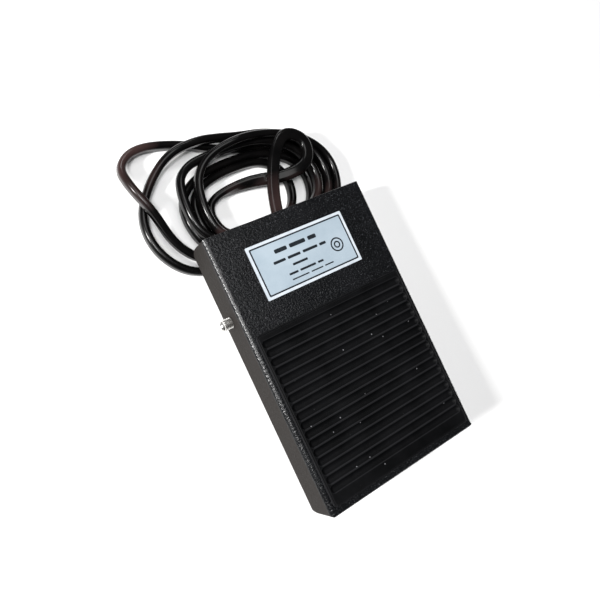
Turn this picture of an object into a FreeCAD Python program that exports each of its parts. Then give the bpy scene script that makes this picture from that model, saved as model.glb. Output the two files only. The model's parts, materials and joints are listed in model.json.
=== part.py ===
"""Foot pedal switch of the kind used on sewing machines, as a parametric FreeCAD document.

Frame: origin on the floor under the middle of the pedal, +X to the pedal's right, +Y to the cord's end,
+Z up. The treadle and what is fixed to it are drawn flat in their own frame (top face at z = 0, middle of
the plate at the origin) and placed at the rest tilt about the pivot. Lengths are in millimetres.
"""
import FreeCAD, Part
import math
import os
import re

import Sketcher

DIMENSIONS = {
    # treadle: a folded channel, open below, at the front and at the rear
    "treadle_length": 103.6, "treadle_width": 68, "treadle_sheet": 1.2, "fold_radius": 1.6,
    "flange_depth": 14.6, "flange_rise": 0.7, "corner_cut": 2.2, "lip_depth": 3.6, "lip_radius": 1.5,
    "rear_edge_radius": 0.4, "front_corner": 2.2, "rear_corner": 1.2,
    "rest_tilt": 3.5, "pivot_back": 22.7, "pivot_drop": 8.2, "pivot_y": 22.6, "pivot_z": 14.8,
    # ribbed rubber pad and label
    "pad_width": 63.6, "pad_front": 48.8, "pad_rear": 14.7, "pad_height": 1.1, "pad_corner": 1.5,
    "groove_pitch": 3.35, "groove_count": 17, "groove_width": 2.3, "groove_length": 61.2,
    "groove_first": 10.9, "groove_depth": 0.8,
    "label_length": 41.5, "label_width": 19.9, "label_middle": 33.6, "label_side": -0.5,
    "label_sheet": 0.3,
    # base tray: a drawn steel box on four rubber feet
    "tray_width": 58, "tray_front": 48.3, "tray_rear": 36, "tray_sheet": 1.2, "tray_bottom": 2.4,
    "tray_top": 18.4, "tray_corner": 4, "tray_fold": 2, "ear_radius": 5,
    "foot_radius": 6, "foot_x": 21, "foot_front": 40, "foot_rear": 27, "foot_rivet": 1.5,
    "nut_x": 19, "nut_middle": 3, "nut_spacing": 26, "nut_bore": 1.65, "nut_barrel": 2.7,
    "nut_collar": 3.5, "nut_height": 2.6,
    # pivot
    "screw_radius": 2, "hinge_clearance": 0.06, "pivot_fit": 0.05, "screw_left": 38.4, "head_height": 2.5,
    "head_radius": 3.3, "recess_length": 3.2, "recess_width": 0.9, "recess_depth": 1.1,
    "thread_pitch": 0.7, "thread_depth": 0.35, "thread_turns": 22, "thread_point": 1.1,
    "washer_radius": 3.9, "washer_sheet": 0.8, "washer_gap": 0.1, "bush_radius": 5, "bush_length": 3.5,
    "sleeve_radius": 3, "sleeve_gap": 0.4, "pivot_nut_flats": 7, "pivot_nut_height": 3.2,
    # return spring and its seats
    "spring_y": 4, "spring_wire": 1.2, "spring_radius": 5.1, "spring_turns": 6, "seat_radius": 7,
    "seat_sheet": 1.4, "spigot_radius": 4, "spigot_length": 2.4,
    # stops and striker
    "bumper_width": 3, "front_bumper_length": 34, "front_bumper_top": 20.35, "rear_bumper_length": 9,
    "rear_bumper_top": 20.65, "rear_bumper_x": 18, "bumper_grip": 2.6, "bumper_crown": 1.2, "striker_y": 16,
    "striker_radius": 2.5, "striker_height": 0.95,
    # micro switch, with its lever hinged at the front
    "case_front": 36, "case_length": 19.8, "case_width": 6.4, "case_bottom": 8.4, "case_height": 10.2,
    "case_wall": 1, "cover_sheet": 1.3, "switch_hole": 1.15, "switch_hole_front": 30.85,
    "switch_hole_rear": 21.35, "switch_hole_z": 11.3, "chamber_bottom": 13.1,
    "lever_y": 35, "lever_z": 19.3, "lever_angle": 8.9, "lever_length": 19.5, "lever_width": 4,
    "lever_sheet": 0.4, "lever_start": 0.9, "toe_radius": 0.45, "cheek_length": 3.2, "cheek_height": 1,
    "pin_radius": 0.4, "pin_clearance": 0.05, "ear_width": 0.8, "ear_length": 1.8, "ear_height": 1.6,
    "plunger_y": 28.3, "plunger_radius": 0.9, "plunger_bottom": 16.5,
    "plunger_top": 19.75, "blade_z": 15.4, "blade_width": 2.8, "blade_sheet": 0.2,
    "terminal_sheet": 0.5, "terminal_width": 2.4, "terminal_bottom": 4.4, "com_y": 34.2, "no_y": 26.1,
    "nc_y": 17.5, "nc_strip": 0.9, "nc_arm_z": 16.8, "arm_sheet": 0.6, "contact_y": 19.2,
    "contact_radius": 0.8, "contact_height": 1.1, "rest_radius": 0.3, "eye_radius": 0.55, "eye_rise": 1.4,
    "bracket_sheet": 1.2, "bracket_foot": 10.8, "bracket_rise": 3, "small_screw": 1, "small_head": 1.3,
    "small_slot": 0.5, "small_nut": 1.6, "bracket_screw": 1.5, "bracket_screw_x": 10.2,
    "bracket_head": 1.2,
    # cord: flat, two cores, about 4.8 by 3; its solids are round tubes of the same section area
    "cord_radius": 2.1, "core_radius": 0.85, "exit_z": 13.6, "gland_radius": 4.8, "gland_neck": 3.9,
    "boot_length": 13, "boot_root": 3.4, "boot_tip": 2.5, "coil_height": 9.8,
    "coil_x": 2.9, "coil_y": 63.2, "coil_half_width": 34, "coil_half_depth": 23.4,
    "hole_x": -1.7, "hole_y": 62.3, "hole_half_width": 16.4, "hole_half_depth": 11.6,
    "tie_band": 1.1, "tie_width": 2.4, "tie_lock": 3, "inner_reach": 7.6, "tip_length": 6,
    "tip_radius": 0.55, "gland_lip": 1.4, "gland_rim": 1.5,
}

doc = FreeCAD.newDocument("FootPedalSwitch")
sheet = doc.addObject("Spreadsheet::Sheet", "Dims")
for row, (alias, value) in enumerate(DIMENSIONS.items(), start=1):
    sheet.set(f"A{row}", alias)
    sheet.set(f"B{row}", str(value))
    sheet.setAlias(f"B{row}", alias)
doc.recompute()

PARTS = []
FUNCTIONS = {"cos", "sin", "tan", "sqrt", "deg"}
AXES = {
    "Z": FreeCAD.Rotation(),
    "X": FreeCAD.Rotation(FreeCAD.Vector(0, 1, 0), 90),
    "Y": FreeCAD.Rotation(FreeCAD.Vector(1, 0, 0), -90),
}
TREADLE_Y = "pivot_y - pivot_back * cos(rest_tilt * 1 deg) + pivot_drop * sin(rest_tilt * 1 deg)"
TREADLE_Z = "pivot_z + pivot_back * sin(rest_tilt * 1 deg) + pivot_drop * cos(rest_tilt * 1 deg)"


# ---------------------------------------------------------------- helpers
def dim(alias):
    return float(sheet.get(alias))


def bind(obj, prop, size):
    """Set a property to a number, or bind it to an expression in the sheet's aliases."""
    if isinstance(size, str):
        words = lambda found: found.group() if found.group() in FUNCTIONS else f"Dims.{found.group()}"
        obj.setExpression(prop, re.sub(r"[a-z][a-z_0-9]*", words, size))
    else:
        obj.setExpression(prop, str(size))


def place(obj, at, axis="Z"):
    obj.Placement = FreeCAD.Placement(FreeCAD.Vector(), AXES[axis])
    for letter, size in zip("xyz", at):
        bind(obj, f"Placement.Base.{letter}", size)
    return obj


def on_treadle(obj):
    """Place an object drawn in the treadle's flat frame at the treadle's rest tilt."""
    obj.Placement = FreeCAD.Placement(FreeCAD.Vector(), FreeCAD.Rotation(FreeCAD.Vector(-1, 0, 0), 1))
    bind(obj, "Placement.Rotation.Angle", "rest_tilt")
    bind(obj, "Placement.Base.y", TREADLE_Y)
    bind(obj, "Placement.Base.z", TREADLE_Z)
    return obj


def treadle_placement():
    """The treadle frame's placement as numbers, for shapes that are made in code."""
    tilt = math.radians(dim("rest_tilt"))
    y = dim("pivot_y") - dim("pivot_back") * math.cos(tilt) + dim("pivot_drop") * math.sin(tilt)
    z = dim("pivot_z") + dim("pivot_back") * math.sin(tilt) + dim("pivot_drop") * math.cos(tilt)
    turn = FreeCAD.Rotation(FreeCAD.Vector(1, 0, 0), -dim("rest_tilt"))
    return FreeCAD.Placement(FreeCAD.Vector(0, y, z), turn)


def box(name, length, width, height, at):
    obj = place(doc.addObject("Part::Box", name), at)
    bind(obj, "Length", length)
    bind(obj, "Width", width)
    bind(obj, "Height", height)
    return obj


def cylinder(name, radius, height, at, axis="Z"):
    obj = place(doc.addObject("Part::Cylinder", name), at, axis)
    bind(obj, "Radius", radius)
    bind(obj, "Height", height)
    return obj


def cone(name, radius_1, radius_2, height, at, axis="Z"):
    obj = place(doc.addObject("Part::Cone", name), at, axis)
    bind(obj, "Radius1", radius_1)
    bind(obj, "Radius2", radius_2)
    bind(obj, "Height", height)
    return obj


def cut(name, base, *tools):
    obj = doc.addObject("Part::Cut", name)
    obj.Base = base
    obj.Tool = tools[0] if len(tools) == 1 else fuse(name + "_tools", *tools)
    return obj


def fuse(name, *pieces):
    obj = doc.addObject("Part::MultiFuse", name)
    obj.Shapes = list(pieces)
    return obj


def group(name, pieces):
    """Identical pieces that lie apart: one node of separate solids."""
    obj = doc.addObject("Part::Compound", name)
    obj.Links = list(pieces)
    return obj


def solid(name, shape, placement=None):
    """A shape that is made in code, with its sizes read from the sheet."""
    obj = doc.addObject("Part::Feature", name)
    obj.Shape = shape
    if placement:
        obj.Placement = placement
    return obj


def rounded(name, base, radius, chosen):
    """Fillet the edges of a boolean's result that chosen(edge) picks."""
    doc.recompute()
    obj = doc.addObject("Part::Fillet", name)
    obj.Base = base
    picked = [i for i, edge in enumerate(base.Shape.Edges, start=1) if chosen(edge)]
    obj.Edges = [(i, radius, radius) for i in picked]
    return obj


def node(obj, label):
    obj.Label = label
    PARTS.append(obj)
    return obj


def new_body(name):
    return doc.addObject("PartDesign::Body", name)


def new_sketch(body, name, role):
    sketch = body.newObject("Sketcher::SketchObject", name)
    plane = next(item for item in body.Origin.OriginFeatures if item.Role == role)
    sketch.AttachmentSupport = [(plane, "")]
    sketch.MapMode = "FlatFace"
    return sketch


def limit(sketch, kind, *args, size):
    """Add a driving constraint and bind it to the sheet."""
    index = sketch.addConstraint(Sketcher.Constraint(kind, *args, abs(number(size))))
    bind(sketch, f"Constraints[{index}]", size)


def number(text):
    """Let the sheet work out an expression in its aliases, as a number."""
    obj = doc.getObject("Scratch") or doc.addObject("App::FeaturePython", "Scratch")
    if "Result" not in obj.PropertiesList:
        obj.addProperty("App::PropertyFloat", "Result")
    bind(obj, "Result", text)
    doc.recompute([obj])
    return obj.Result


def rectangle(sketch, low_x, high_x, low_y, high_y):
    """A rectangle whose four sides lie at these distances from the sketch's origin."""
    x1, x2, y1, y2 = (number(size) for size in (low_x, high_x, low_y, high_y))
    corners = [(x1, y1), (x2, y1), (x2, y2), (x1, y2)]
    for a, b in zip(corners, corners[1:] + corners[:1]):
        sketch.addGeometry(Part.LineSegment(FreeCAD.Vector(*a, 0), FreeCAD.Vector(*b, 0)))
    first = sketch.GeometryCount - 4
    for i in range(4):
        sketch.addConstraint(Sketcher.Constraint("Coincident", first + i, 2, first + (i + 1) % 4, 1))
        level = "Horizontal" if i % 2 == 0 else "Vertical"
        sketch.addConstraint(Sketcher.Constraint(level, first + i))
    sides = [("DistanceX", x1, low_x, 0), ("DistanceX", x2, high_x, 2)]
    sides += [("DistanceY", y1, low_y, 0), ("DistanceY", y2, high_y, 2)]
    for kind, place_now, size, corner in sides:
        point, origin = (first + corner, 1), (-1, 1)
        ends = (*origin, *point) if place_now > 0 else (*point, *origin)
        size = size if place_now > 0 else f"-({size})"
        limit(sketch, kind, *ends, size=size)


def pad(body, name, sketch, length, reverse=False):
    feature = body.newObject("PartDesign::Pad", name)
    feature.Profile = sketch
    bind(feature, "Length", length)
    feature.Reversed = reverse
    doc.recompute()
    return feature


def pocket(body, name, sketch, length=None, reverse=False):
    """Cut a sketch's outline out of the body, to a depth or all the way through, and see that it cuts."""
    before = body.Shape.Volume
    feature = body.newObject("PartDesign::Pocket", name)
    feature.Profile = sketch
    feature.Reversed = reverse
    if length is None:
        feature.Type = "ThroughAll"
        feature.Midplane = True
    else:
        bind(feature, "Length", length)
    doc.recompute()
    if body.Shape.Volume > before - 1e-6:
        raise RuntimeError(f"{name} cuts nothing")
    return feature


def round_edges(body, name, radius, chosen):
    feature = body.newObject("PartDesign::Fillet", name)
    picked = [f"Edge{i}" for i, edge in enumerate(body.Shape.Edges, start=1) if chosen(edge)]
    feature.Base = (body.Tip if body.Tip is not feature else feature.BaseFeature, picked)
    bind(feature, "Radius", radius)
    doc.recompute()
    return feature


def along(edge, axis):
    """True for a straight edge that runs along this axis."""
    if edge.Curve.TypeId != "Part::GeomLine":
        return False
    return abs(abs(edge.Curve.Direction[axis]) - 1) < 1e-6


def middle(edge):
    return edge.BoundBox.Center


# ---------------------------------------------------------------- treadle, pad and label
def make_treadle():
    body = new_body("TreadleBody")
    pad(body, "Plate", plate_sketch(body, "PlateOutline", "treadle_width / 2"), "flange_depth", reverse=True)
    outer = lambda e: along(e, 1) and abs(middle(e).z) < 1e-6
    round_edges(body, "Folds", "fold_radius", outer)
    hollow = plate_sketch(body, "HollowOutline", "treadle_width / 2 - treadle_sheet", extra="treadle_sheet")
    bind(hollow, "AttachmentOffset.Base.z", "-flange_depth")
    pocket(body, "Hollow", hollow, "flange_depth - treadle_sheet", reverse=True)
    inner_z = -dim("treadle_sheet")
    round_edges(body, "InnerFolds", "fold_radius - treadle_sheet",
                lambda e: along(e, 1) and abs(middle(e).z - inner_z) < 1e-6)
    holes = new_sketch(body, "PivotHoles", "YZ_Plane")
    holes.addGeometry(Part.Circle(FreeCAD.Vector(dim("pivot_back"), -dim("pivot_drop"), 0),
                                  FreeCAD.Vector(0, 0, 1), dim("screw_radius")))
    limit(holes, "Radius", 0, size="screw_radius + hinge_clearance")
    limit(holes, "DistanceX", -1, 1, 0, 3, size="pivot_back")
    limit(holes, "DistanceY", 0, 3, -1, 1, size="pivot_drop")
    pocket(body, "PivotBore", holes)
    treadle = on_treadle(body)
    # the flanges get shallower to the rear, and their lower corners are cut off
    half, depth = dim("treadle_length") / 2, dim("flange_depth")
    wide = dim("treadle_width")
    slope = [(-half, -depth), (half, -depth + dim("flange_rise")), (half, -depth - 1), (-half, -depth - 1)]
    clips = [prism_across(slope, wide)]
    clips += [edge_roll(-1, dim("lip_radius")), edge_roll(1, dim("rear_edge_radius"))]
    for side in (-1, 1):
        clips += [plan_corner(side, -1, dim("front_corner")), plan_corner(side, 1, dim("rear_corner"))]
    clip = dim("corner_cut")
    for end, low in ((-half, -depth), (half, -depth + dim("flange_rise"))):
        inward = math.copysign(clip, -end)
        outline = [(end, low + 1.6 * clip), (end + inward, low), (end + inward, low - 1),
                   (end - inward, low - 1), (end - inward, low + 1.6 * clip)]
        clips.append(prism_across(outline, wide))
    trims = solid("TreadleTrims", clips[0].fuse(clips[1:]), treadle_placement())
    node(cut("TrimmedTreadle", fuse("TreadleWithLip", treadle, make_lip()), trims), "treadle")


def plate_sketch(body, name, half_width, extra="0"):
    sketch = new_sketch(body, name, "XY_Plane")
    rectangle(sketch, f"-({half_width})", half_width,
              f"-(treadle_length / 2 + {extra})", f"treadle_length / 2 + {extra}")
    return sketch


def prism_across(outline, width):
    """A closed outline in the treadle's YZ plane, extruded across the treadle."""
    points = [FreeCAD.Vector(-width, y, z) for y, z in outline]
    face = Part.Face(Part.makePolygon(points + points[:1]))
    return face.extrude(FreeCAD.Vector(2 * width, 0, 0))


def make_lip():
    """The front edge of the plate, turned down between the flanges."""
    front, inside = -dim("treadle_length") / 2, dim("treadle_width") / 2 - dim("treadle_sheet") / 2
    corner = FreeCAD.Vector(-inside, front, -dim("lip_depth"))
    wall = Part.makeBox(2 * inside, dim("treadle_sheet"), dim("lip_depth"), corner)
    return solid("FrontLip", wall, treadle_placement())


def outside_arc(far, start, radius):
    """Flat outline of what a rounding removes: its corner at (far, start), its arc on the near side."""
    out, back = math.copysign(radius, far), math.copysign(radius, start)
    bend = 1 - math.sqrt(0.5)
    a, b = (far, start - back), (far - out, start)
    top = (far - out * bend, start - back * bend)
    beyond = [(far - out, start + back), (far + out, start + back), (far + out, start - back)]
    return a, top, b, beyond


def rounding(outline, to_vector, depth):
    a, top, b, beyond = outline
    arc = Part.Arc(to_vector(a), to_vector(top), to_vector(b)).toShape()
    corners = [to_vector(b), *map(to_vector, beyond), to_vector(a)]
    lines = [Part.LineSegment(p, q).toShape() for p, q in zip(corners, corners[1:])]
    return Part.Face(Part.Wire([arc, *lines])).extrude(depth)


def edge_roll(end, radius):
    """What rolling the front (end -1) or rear (end 1) top edge takes off, right across the treadle."""
    wide = dim("treadle_width")
    outline = outside_arc(end * dim("treadle_length") / 2, 0, radius)
    return rounding(outline, lambda p: FreeCAD.Vector(-wide, *p), FreeCAD.Vector(2 * wide, 0, 0))


def plan_corner(side, end, radius):
    """What rounding one of the treadle's four upright corners takes off."""
    outline = outside_arc(side * dim("treadle_width") / 2, end * dim("treadle_length") / 2, radius)
    low = -2 * dim("flange_depth")
    return rounding(outline, lambda p: FreeCAD.Vector(*p, low), FreeCAD.Vector(0, 0, -2 * low))


def make_tread_pad():
    body = new_body("PadBody")
    outline = new_sketch(body, "PadOutline", "XY_Plane")
    rectangle(outline, "-pad_width / 2", "pad_width / 2", "-pad_front", "pad_rear")
    pad(body, "Sheet", outline, "pad_height")
    round_edges(body, "PadCorners", "pad_corner", lambda e: along(e, 2))
    top = dim("pad_height")
    round_edges(body, "PadRim", "pad_height * 0.45", lambda e: abs(middle(e).z - top) < 1e-6)
    groove = new_sketch(body, "GrooveOutline", "XY_Plane")
    bind(groove, "AttachmentOffset.Base.z", "pad_height")
    slot(groove, "groove_length", "groove_width", "groove_first")
    first = pocket(body, "Groove", groove, "groove_depth")
    pattern = body.newObject("PartDesign::LinearPattern", "Grooves")
    pattern.Originals = [first]
    axis = next(item for item in body.Origin.OriginFeatures if item.Role == "Y_Axis")
    pattern.Direction = (axis, [""])
    pattern.Reversed = True
    bind(pattern, "Length", "groove_pitch * (groove_count - 1)")
    bind(pattern, "Occurrences", "groove_count")
    body.Tip = pattern
    node(on_treadle(body), "tread_pad")


def slot(sketch, length, width, middle_y):
    """A long hole with round ends, across the sketch at this height."""
    reach, radius, y = (number(length) - number(width)) / 2, number(width) / 2, number(middle_y)
    centres = [FreeCAD.Vector(side * reach, y, 0) for side in (1, -1)]
    up = FreeCAD.Vector(0, 0, 1)
    for centre, start in zip(centres, (-math.pi / 2, math.pi / 2)):
        circle = Part.Circle(centre, up, radius)
        sketch.addGeometry(Part.ArcOfCircle(circle, start, start + math.pi))
    for a, b, level in ((1, -1, 1), (-1, 1, -1)):
        start = FreeCAD.Vector(a * reach, y + level * radius, 0)
        end = FreeCAD.Vector(b * reach, y + level * radius, 0)
        sketch.addGeometry(Part.LineSegment(start, end))
    for arc, arc_end, line, line_end in ((0, 2, 2, 1), (1, 1, 2, 2), (1, 2, 3, 1), (0, 1, 3, 2)):
        sketch.addConstraint(Sketcher.Constraint("Tangent", arc, arc_end, line, line_end))
    sketch.addConstraint(Sketcher.Constraint("Equal", 0, 1))
    limit(sketch, "Radius", 0, size=f"{width} / 2")
    limit(sketch, "DistanceX", -1, 1, 0, 3, size=f"({length} - {width}) / 2")
    limit(sketch, "DistanceX", 1, 3, -1, 1, size=f"({length} - {width}) / 2")
    limit(sketch, "DistanceY", -1, 1, 0, 3, size=middle_y)


def make_label():
    body = new_body("LabelBody")
    outline = new_sketch(body, "LabelOutline", "XY_Plane")
    rectangle(outline, "label_side - label_length / 2", "label_side + label_length / 2",
              "label_middle - label_width / 2", "label_middle + label_width / 2")
    pad(body, "LabelSheet", outline, "label_sheet")
    round_edges(body, "LabelCorners", "label_sheet", lambda e: along(e, 2))
    node(on_treadle(body), "label_plate")


def make_striker():
    """A nylon button under the treadle that bears on the switch lever, its nose rounded."""
    button = cylinder("StrikerButton", "striker_radius", "striker_height",
                      ("0", "-(striker_y)", "-(treadle_sheet + striker_height)"))
    low = -(dim("treadle_sheet") + dim("striker_height"))
    nose = rounded("StrikerNose", button, dim("striker_height") * 0.8,
                   lambda e: abs(middle(e).z - low) < 1e-6)
    node(on_treadle(nose), "striker")


# ---------------------------------------------------------------- base tray and feet
def drawn_block(name, inset, low, corner, fold):
    """A block with round corners and a round edge at the bottom: the tray's outside or its hollow."""
    body = new_body(name)
    outline = new_sketch(body, f"{name}Outline", "XY_Plane")
    half = f"tray_width / 2 - {inset}"
    rectangle(outline, f"-({half})", half, f"-(tray_front - {inset})", f"tray_rear - {inset}")
    bind(outline, "AttachmentOffset.Base.z", low)
    pad(body, f"{name}Block", outline, f"tray_top - ({low}) + {inset}")
    round_edges(body, f"{name}Corners", corner, lambda e: along(e, 2))
    bottom = number(low)
    round_edges(body, f"{name}Fold", fold, lambda e: abs(middle(e).z - bottom) < 1e-6)
    return body


def make_tray():
    outside = drawn_block("TrayOutside", "0", "tray_bottom", "tray_corner", "tray_fold")
    hollow = drawn_block("TrayHollow", "tray_sheet", "tray_bottom + tray_sheet",
                         "tray_corner - tray_sheet", "tray_fold - tray_sheet")
    shell = cut("TrayShell", outside, hollow)
    ears = []
    for side in ("Right", "Left"):
        x = "tray_width / 2 - tray_sheet" if side == "Right" else "-tray_width / 2"
        ears.append(cylinder(f"{side}Ear", "ear_radius", "tray_sheet", (x, "pivot_y", "pivot_z"), "X"))
    holes = [
        cylinder("TrayPivotBore", "screw_radius + pivot_fit", "tray_width * 2",
                 ("-tray_width", "pivot_y", "pivot_z"), "X"),
        cylinder("GlandHole", "gland_neck", "tray_sheet * 3",
                 ("0", "tray_rear - 2 * tray_sheet", "exit_z"), "Y"),
    ]
    for i, (x, y) in enumerate(foot_places()):
        holes.append(cylinder(f"FootHole{i}", "foot_rivet", "3 * tray_sheet", (x, y, "tray_bottom - 1")))
    for i, (x, y) in enumerate(nut_places()):
        holes.append(cylinder(f"NutHole{i}", "nut_barrel", "3 * tray_sheet", (x, y, "tray_bottom - 1")))
    for i, y in enumerate(bracket_screw_rows()):
        holes.append(cylinder(f"BracketHole{i}", "bracket_screw", "3 * tray_sheet",
                              ("bracket_screw_x", y, "tray_bottom - 1")))
    node(cut("Tray", fuse("TrayWithEars", shell, *ears), *holes), "base_tray")


def foot_places():
    return [(x, y) for x in ("foot_x", "-foot_x") for y in ("-foot_front", "foot_rear")]


def nut_places():
    middle_y, half = "nut_middle", "nut_spacing / 2"
    return [(x, y) for x in ("nut_x", "-nut_x")
            for y in (f"{middle_y} - {half}", f"{middle_y} + {half}")]


def bracket_screw_rows():
    return ["-case_front + case_length * 0.2", "-case_front + case_length * 0.8"]


def make_feet():
    feet, rivets = [], []
    for i, (x, y) in enumerate(foot_places()):
        taper = cone(f"FootTaper{i}", "foot_radius - 0.8", "foot_radius", "tray_bottom", (x, y, "0"))
        sink = cylinder(f"FootSink{i}", "foot_rivet * 2 + 0.2", "tray_bottom / 2", (x, y, "0"))
        bore = cylinder(f"FootBore{i}", "foot_rivet", "tray_bottom", (x, y, "0"))
        feet.append(cut(f"Foot{i}", taper, sink, bore))
        head = cylinder(f"RivetHead{i}", "foot_rivet * 2", "foot_rivet / 2",
                        (x, y, "tray_bottom / 2 - foot_rivet / 2"))
        shank = cylinder(f"RivetShank{i}", "foot_rivet", "tray_bottom / 2 + tray_sheet + 0.4",
                         (x, y, "tray_bottom / 2 - 0.2"))
        upset = cylinder(f"RivetUpset{i}", "foot_rivet * 1.8", "foot_rivet / 2",
                         (x, y, "tray_bottom + tray_sheet"))
        rivets.append(fuse(f"Rivet{i}", head, shank, upset))
    node(group("Feet", feet), "rubber_feet")
    node(group("FootRivets", rivets), "foot_rivets")


def make_clinch_nuts():
    nuts = []
    for i, (x, y) in enumerate(nut_places()):
        barrel = cylinder(f"NutBarrel{i}", "nut_barrel", "tray_sheet", (x, y, "tray_bottom"))
        collar = cylinder(f"NutCollar{i}", "nut_collar", "nut_height", (x, y, "tray_bottom + tray_sheet"))
        bore = cylinder(f"NutBore{i}", "nut_bore", "nut_height * 3", (x, y, "0"))
        nuts.append(cut(f"ClinchNut{i}", fuse(f"NutBlank{i}", barrel, collar), bore))
    node(group("ClinchNuts", nuts), "clinch_nuts")


def make_bumpers():
    """Rubber channel strips on the tray's edges: the rear ones carry the treadle, the front one stops it."""
    node(edge_strip("FrontBumper", "0", "front_bumper_length", "-(tray_front - tray_sheet / 2)",
                    "front_bumper_top"), "front_bumper")
    rear = [edge_strip(f"RearBumper{i}", x, "rear_bumper_length", "tray_rear - tray_sheet / 2",
                       "rear_bumper_top") for i, x in enumerate(("rear_bumper_x", "-rear_bumper_x"))]
    node(group("RearBumpers", rear), "rear_bumpers")


def edge_strip(name, x, length, y, top):
    low = "tray_top - bumper_grip"
    strip = box(f"{name}Block", length, "bumper_width", f"{top} - ({low})",
                (f"{x} - {length} / 2", f"{y} - bumper_width / 2", low))
    crown = rounded(f"{name}Crown", strip, dim("bumper_crown"),
                    lambda e: along(e, 0) and middle(e).z > dim("tray_top"))
    groove = box(f"{name}Groove", f"{length} + 2", "tray_sheet", "bumper_grip",
                 (f"{x} - {length} / 2 - 1", f"{y} - tray_sheet / 2", low))
    return cut(name, crown, groove)


# ---------------------------------------------------------------- pivot
def make_pivot():
    x_left = "-screw_left"
    shank_end = -dim("screw_left") + dim("thread_turns") * dim("thread_pitch")
    washer_face = number("treadle_width / 2 + washer_gap + washer_sheet")
    head = cylinder("HeadBlank", "head_radius", "head_height",
                    ("treadle_width / 2 + washer_gap + washer_sheet", "pivot_y", "pivot_z"), "X")
    crown_x = washer_face + dim("head_height")
    crown = rounded("HeadCrown", head, dim("head_height") * 0.72, lambda e: abs(middle(e).x - crown_x) < 1e-6)
    shank = cylinder("Shank", "screw_radius", f"{washer_face - shank_end}",
                     (str(shank_end), "pivot_y", "pivot_z"), "X")
    slots = [box(f"Recess{i}", "recess_depth * 2", width, height,
                 (f"{crown_x} - recess_depth", f"pivot_y - {width} / 2", f"pivot_z - {height} / 2"))
             for i, (width, height) in enumerate((("recess_width", "recess_length"),
                                                  ("recess_length", "recess_width")))]
    screw = cut("PivotScrew", fuse("ScrewBlank", crown, shank, thread("Thread", x_left, shank_end)), *slots)
    node(screw, "pivot_screw")
    washer = cylinder("WasherDisc", "washer_radius", "washer_sheet",
                      ("treadle_width / 2 + washer_gap", "pivot_y", "pivot_z"), "X")
    node(cut("HeadWasher", washer, pivot_hole("Washer")), "head_washer")
    bushes = []
    for i, x in enumerate(("tray_width / 2", "-tray_width / 2 - bush_length")):
        bush = cylinder(f"Bush{i}", "bush_radius", "bush_length", (x, "pivot_y", "pivot_z"), "X")
        bushes.append(cut(f"PivotBush{i}", bush, pivot_hole(f"Bush{i}")))
    node(group("PivotBushes", bushes), "pivot_bushes")
    sleeve = cylinder("SleeveTube", "sleeve_radius",
                      "tray_width - 2 * tray_sheet - pivot_nut_height - sleeve_gap",
                      ("-(tray_width / 2 - tray_sheet) + pivot_nut_height + sleeve_gap",
                       "pivot_y", "pivot_z"), "X")
    node(cut("PivotSleeve", sleeve, pivot_hole("Sleeve")), "pivot_sleeve")
    nut = doc.addObject("Part::Prism", "NutHexagon")
    place(nut, ("-(tray_width / 2 - tray_sheet)", "pivot_y", "pivot_z"), "X")
    nut.Polygon = 6
    bind(nut, "Circumradius", "pivot_nut_flats / sqrt(3)")
    bind(nut, "Height", "pivot_nut_height")
    node(cut("PivotNut", nut, pivot_hole("Nut")), "pivot_nut")


def pivot_hole(name):
    return cylinder(f"{name}Hole", "screw_radius + pivot_fit", "tray_width * 2",
                    ("-tray_width", "pivot_y", "pivot_z"), "X")


def thread(name, start, end):
    """Thread drawn as rings, with a plain chamfered point at its free end."""
    pitch, radius, point = dim("thread_pitch"), dim("screw_radius"), dim("thread_point")
    root, x = radius - dim("thread_depth"), number(start)
    profile = [(x, 0), (x, root - point / 3), (x + point / 2, root), (x + point, root)]
    x += point
    while x < end - pitch:
        profile += [(x + 0.1 * pitch, root), (x + 0.4 * pitch, radius),
                    (x + 0.6 * pitch, radius), (x + 0.9 * pitch, root)]
        x += pitch
    profile += [(end, radius), (end, 0)]
    points = [FreeCAD.Vector(along_x, up, 0) for along_x, up in profile]
    face = Part.Face(Part.makePolygon(points + points[:1]))
    rings = face.revolve(FreeCAD.Vector(), FreeCAD.Vector(1, 0, 0), 360)
    return solid(name, rings, FreeCAD.Placement(FreeCAD.Vector(0, dim("pivot_y"), dim("pivot_z")),
                                                FreeCAD.Rotation()))


# ---------------------------------------------------------------- return spring
def make_spring():
    floor = "tray_bottom + tray_sheet"
    lower = fuse("LowerSeat",
                 cylinder("LowerSeatDisc", "seat_radius", "seat_sheet", ("0", "-spring_y", floor)),
                 cylinder("LowerSpigot", "spigot_radius", "spigot_length + seat_sheet",
                          ("0", "-spring_y", floor)))
    node(lower, "spring_seat_lower")
    under = "-treadle_sheet - seat_sheet"
    tilt = math.radians(dim("rest_tilt"))
    place_frame = treadle_placement()
    above = place_frame.inverse().multVec(FreeCAD.Vector(0, -dim("spring_y"), number(TREADLE_Z)))
    upper = fuse("UpperSeat",
                 cylinder("UpperSeatDisc", "seat_radius", "seat_sheet", ("0", str(above.y), under)),
                 cylinder("UpperSpigot", "spigot_radius - 0.3", "spigot_length",
                          ("0", str(above.y), f"{under} - spigot_length")))
    node(on_treadle(upper), "spring_seat_upper")
    wire = dim("spring_wire") / 2
    low = number(floor) + dim("seat_sheet") + wire + 0.05
    seat = place_frame.multVec(FreeCAD.Vector(0, above.y, number(under)))
    high = seat.z - dim("spring_radius") * math.tan(tilt) - 1.3 * wire - 0.1
    turns = dim("spring_turns")
    helix = Part.makeHelix((high - low) / turns, high - low, dim("spring_radius"))
    circle = Part.Circle(FreeCAD.Vector(dim("spring_radius"), 0, 0), FreeCAD.Vector(0, 1, 0), wire)
    coil = helix.makePipeShell([Part.Wire(circle.toShape())], True, True)
    node(solid("Spring", coil, FreeCAD.Placement(FreeCAD.Vector(0, -dim("spring_y"), low),
                                                 FreeCAD.Rotation())), "return_spring")


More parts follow.
